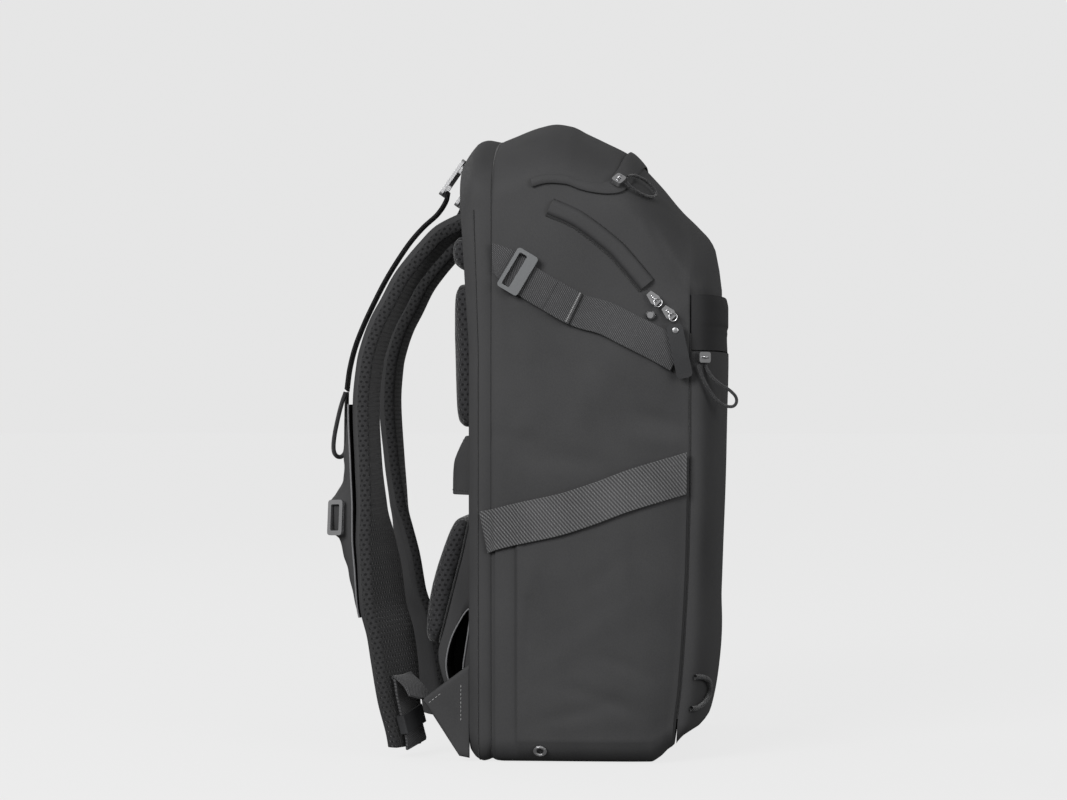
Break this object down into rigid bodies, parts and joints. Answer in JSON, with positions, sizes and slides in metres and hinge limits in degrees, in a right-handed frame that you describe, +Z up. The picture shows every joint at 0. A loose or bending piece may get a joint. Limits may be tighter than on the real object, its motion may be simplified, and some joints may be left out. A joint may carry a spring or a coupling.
{
  "type": "camera backpack",
  "caption": "Soft-sided camera backpack with padded shoulder straps, mesh back pads, a side pocket, a crowned front pocket and compression webbing, standing on its base.",
  "frame": {"origin": "centre of the flat base, on the surface that the bag stands on", "axes": "+Z up; -Y towards the outer front; +Y towards the back panel and the wearer; -X towards the wearer's left, the side with the pocket and the side zip"},
  "size_m": [0.3069, 0.3139, 0.4905],
  "materials": {
    "shell_fabric": "matte coated woven nylon",
    "panel_fabric": "matte woven nylon",
    "mesh_fabric": "open spacer mesh over foam",
    "webbing": "ribbed nylon webbing",
    "gunmetal": "satin dark metal",
    "nickel": "satin nickel",
    "cord": "braided cord",
    "pull_leather": "matte coated pull"
  },
  "bodies": {
    "root": {"main_shell": "shell_fabric", "rear_band": "shell_fabric", "front_pocket": "shell_fabric", "lid_flap": "shell_fabric", "side_zip_flap": "shell_fabric", "side_pocket": "shell_fabric", "strap_pocket": "shell_fabric", "back_sleeve": "shell_fabric", "lumbar_wedge": "shell_fabric", "shoulder_strap_left": "shell_fabric", "shoulder_strap_right": "shell_fabric", "strap_wing_left": "shell_fabric", "strap_wing_right": "shell_fabric", "back_panel": "panel_fabric", "front_band": "panel_fabric", "upper_pad_left": "mesh_fabric", "upper_pad_right": "mesh_fabric", "mid_pad_left": "mesh_fabric", "mid_pad_right": "mesh_fabric", "lumbar_pad_left": "mesh_fabric", "lumbar_pad_right": "mesh_fabric", "side_band": "webbing", "upper_strap_rear": "webbing", "upper_strap": "webbing", "upper_strap_fold": "webbing", "lifter_anchor_left": "webbing", "lifter_anchor_right": "webbing", "lifter_webbing_left": "webbing", "lifter_webbing_right": "webbing", "lower_webbing_left": "webbing", "lower_webbing_right": "webbing", "upper_strap_buckle": "gunmetal", "webbing_keeper_left": "gunmetal", "webbing_keeper_right": "gunmetal", "side_slider_upper": "nickel", "side_slider_lower": "nickel", "rivet_pull": "nickel", "eyelet": "nickel", "front_slider": "nickel", "lid_slider": "nickel", "strap_clip": "nickel", "lifter_buckle_left": "nickel", "lifter_buckle_right": "nickel", "front_pull_cord": "cord", "lid_pull_cord": "cord", "lifter_loop_left": "cord", "lifter_loop_right": "cord", "lash_loop_left": "cord", "lash_loop_right": "cord", "pull_tab": "pull_leather"}
  },
  "joints": []
}
